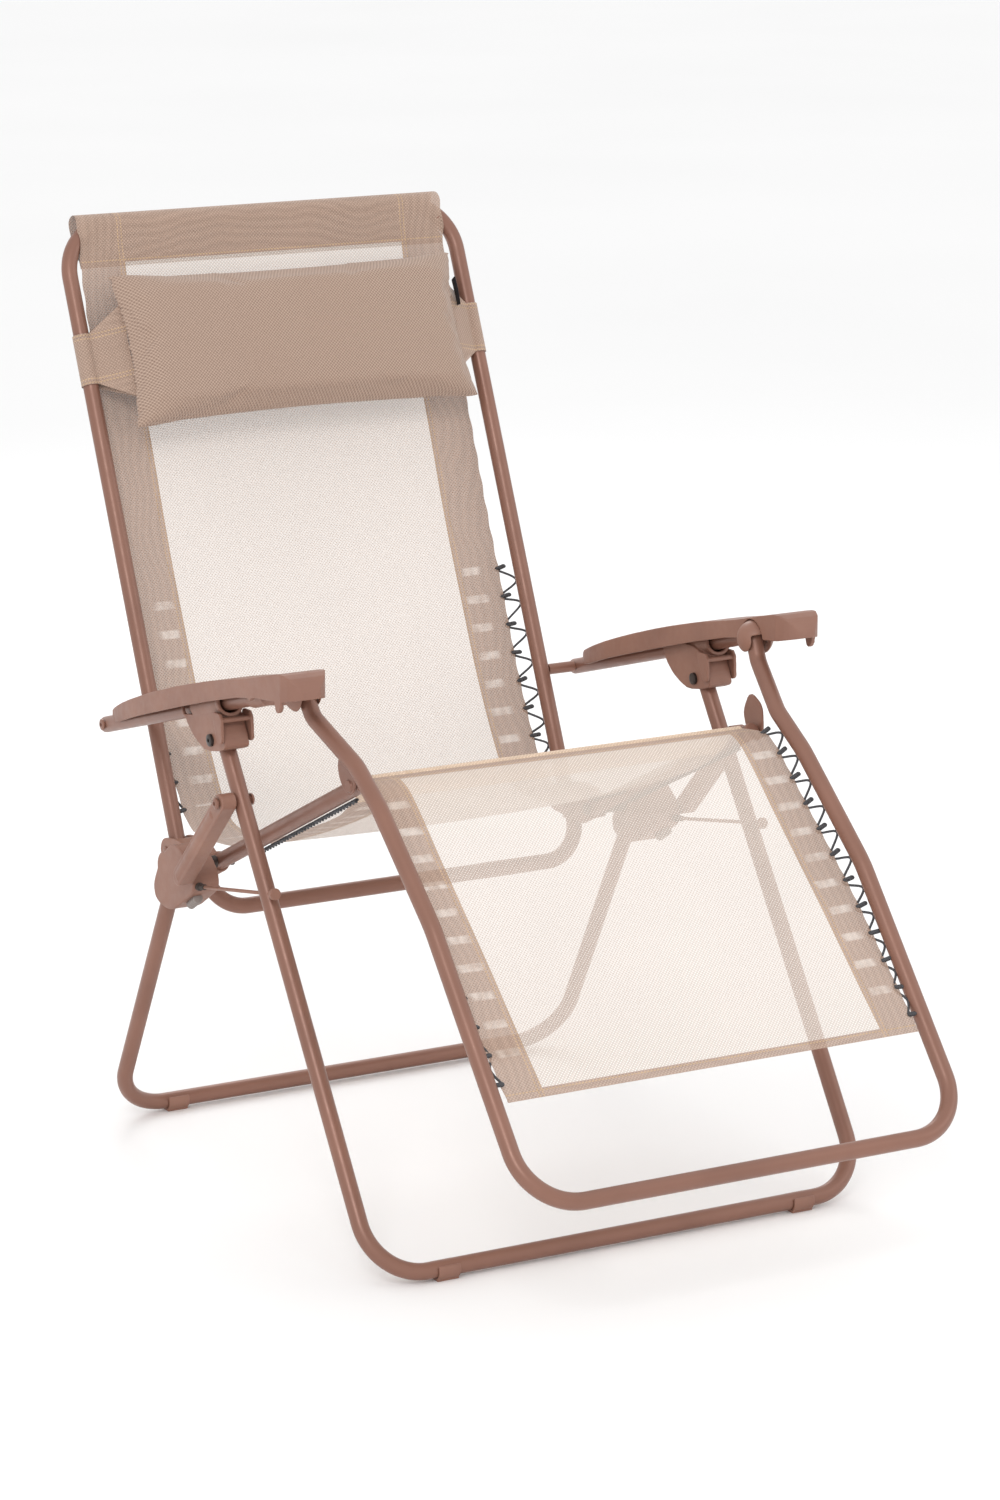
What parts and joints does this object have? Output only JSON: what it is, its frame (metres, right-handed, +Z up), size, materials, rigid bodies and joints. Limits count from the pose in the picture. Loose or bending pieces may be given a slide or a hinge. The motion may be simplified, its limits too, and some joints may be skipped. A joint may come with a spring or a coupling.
{
  "type": "zero gravity recliner",
  "caption": "Folding zero gravity recliner: steel tube frame, laced mesh sling, moulded armrests with lock levers, and a strapped head pillow.",
  "frame": {"origin": "the middle of the footprint of the whole chair, on the floor it stands on", "axes": "+Z up; -Y is the way the sitter faces; +X is the sitter's left"},
  "size_m": [0.7324, 1.2294, 1.1139],
  "materials": {
    "painted_steel": "satin",
    "moulded_plastic": "fine matt moulding",
    "bolt_steel": "dark plated",
    "mesh_fabric": "woven mesh of coated yarn",
    "pillow_fabric": "woven, matt",
    "webbing": "woven, matt",
    "coated_cable": "plastic coated wire rope",
    "elastic_cord": "braided sleeve",
    "inner_plastic": "matt moulding"
  },
  "bodies": {
    "front_stand": {"front_leg_frame": "painted_steel", "front_foot_l": "moulded_plastic", "front_foot_r": "moulded_plastic", "link_pin_l": "bolt_steel", "link_pin_r": "bolt_steel", "cable_stop_l": "inner_plastic", "cable_stop_r": "inner_plastic"},
    "rear_stand": {"rear_leg_frame": "painted_steel", "rear_link_l": "moulded_plastic", "rear_link_r": "moulded_plastic", "hub_l": "moulded_plastic", "hub_r": "moulded_plastic", "rear_foot_l": "moulded_plastic", "rear_foot_r": "moulded_plastic", "hub_pin_l": "bolt_steel", "hub_pin_r": "bolt_steel", "limit_cable_l": "coated_cable", "limit_cable_r": "coated_cable"},
    "seat": {"cross_tube": "painted_steel", "seat_sling": "mesh_fabric", "seat_tube_l": "painted_steel", "seat_tube_r": "painted_steel", "knuckle_l": "moulded_plastic", "knuckle_r": "moulded_plastic", "knee_pin_l": "bolt_steel", "knee_pin_r": "bolt_steel"},
    "knuckle_pins": {"knuckle_pin_l": "bolt_steel", "knuckle_pin_r": "bolt_steel"},
    "back": {"back_frame": "painted_steel", "back_sling": "mesh_fabric", "head_pillow": "pillow_fabric", "back_lacing_l": "elastic_cord", "back_lacing_r": "elastic_cord", "pillow_strap_l": "webbing", "pillow_strap_r": "webbing"},
    "bracket_bolts": {"bracket_bolt_l": "bolt_steel", "bracket_bolt_r": "bolt_steel"},
    "brackets": {"slide_bracket_l": "moulded_plastic", "slide_bracket_r": "moulded_plastic"},
    "slide_bushes": {"slide_bush_l": "inner_plastic", "slide_bush_r": "inner_plastic"},
    "armrests": {"armrest_tube_l": "painted_steel", "armrest_tube_r": "painted_steel", "armrest_pad_l": "moulded_plastic", "armrest_pad_r": "moulded_plastic", "armrest_elbow_l": "moulded_plastic", "armrest_elbow_r": "moulded_plastic", "arm_pin_l": "bolt_steel", "arm_pin_r": "bolt_steel"},
    "elbow_pins": {"elbow_pin_l": "bolt_steel", "elbow_pin_r": "bolt_steel"},
    "legrest": {"legrest_frame": "painted_steel", "legrest_sling": "mesh_fabric", "knee_bracket_l": "painted_steel", "knee_bracket_r": "painted_steel", "legrest_lacing_l": "elastic_cord", "legrest_lacing_r": "elastic_cord"},
    "lever_l": {"lock_lever_l": "moulded_plastic"},
    "lever_r": {"lock_lever_r": "moulded_plastic"}
  },
  "joints": [
    {"name": "fold", "type": "hinge", "parent": "front_stand", "child": "rear_stand", "pos_m": [0, -0.00265, 0.502], "axis": [-1, 0, 0], "range_deg": [0, 68], "deforming": ["limit_cable_l", "limit_cable_r"]},
    {"name": "seat_tilt", "type": "hinge", "parent": "rear_stand", "child": "seat", "pos_m": [0, 0.19035, 0.375], "axis": [-1, 0, 0], "range_deg": [0, 7.26]},
    {"name": "back_fold", "type": "hinge", "parent": "seat", "child": "knuckle_pins", "pos_m": [0, 0.28535, 0.368], "axis": [-1, 0, 0], "range_deg": [-37.75, 0]},
    {"name": "recline", "type": "hinge", "parent": "knuckle_pins", "child": "back", "pos_m": [0, 0.28535, 0.368], "axis": [-1, 0, 0], "range_deg": [0, 20.75]},
    {"name": "bracket_fold", "type": "hinge", "parent": "front_stand", "child": "bracket_bolts", "pos_m": [0, 0.04085, 0.567], "axis": [-1, 0, 0], "range_deg": [0, 67.77]},
    {"name": "bracket_tilt", "type": "hinge", "parent": "bracket_bolts", "child": "brackets", "pos_m": [0, 0.04085, 0.567], "axis": [-1, 0, 0], "range_deg": [0, 5.93]},
    {"name": "arm_slide_folding", "type": "slide", "parent": "brackets", "child": "slide_bushes", "axis": [0, -0.9615, 0.2748], "range_m": [0, 0.01956]},
    {"name": "arm_slide_reclining", "type": "slide", "parent": "slide_bushes", "child": "armrests", "axis": [0, 0.9615, -0.2748], "range_m": [0, 0.07527]},
    {"name": "legrest_fold", "type": "hinge", "parent": "armrests", "child": "elbow_pins", "pos_m": [0, -0.11365, 0.649], "axis": [-1, 0, 0], "range_deg": [-55.2, 0]},
    {"name": "legrest_lift", "type": "hinge", "parent": "elbow_pins", "child": "legrest", "pos_m": [0, -0.11365, 0.649], "axis": [-1, 0, 0], "range_deg": [0, 33.35]},
    {"name": "lock_lever_l", "type": "hinge", "parent": "brackets", "child": "lever_l", "pos_m": [0, 0.02235, 0.6], "axis": [-1, 0, 0], "range_deg": [0, 15], "stiffness_Nm_per_rad": 0.08},
    {"name": "lock_lever_r", "type": "hinge", "parent": "brackets", "child": "lever_r", "pos_m": [0, 0.02235, 0.6], "axis": [-1, 0, 0], "range_deg": [0, 15], "stiffness_Nm_per_rad": 0.08}
  ],
  "couplings": [
    {"joint": "back_fold", "follows": "fold", "ratio": -0.55498},
    {"joint": "bracket_fold", "follows": "fold", "ratio": 0.99652},
    {"joint": "arm_slide_folding", "follows": "fold", "m_per_rad": 0.01647},
    {"joint": "legrest_fold", "follows": "fold", "ratio": -0.81159},
    {"joint": "seat_tilt", "follows": "recline", "ratio": 0.34947},
    {"joint": "bracket_tilt", "follows": "recline", "ratio": 0.28546},
    {"joint": "arm_slide_reclining", "follows": "recline", "m_per_rad": 0.20781},
    {"joint": "legrest_lift", "follows": "recline", "ratio": 1.607}
  ]
}
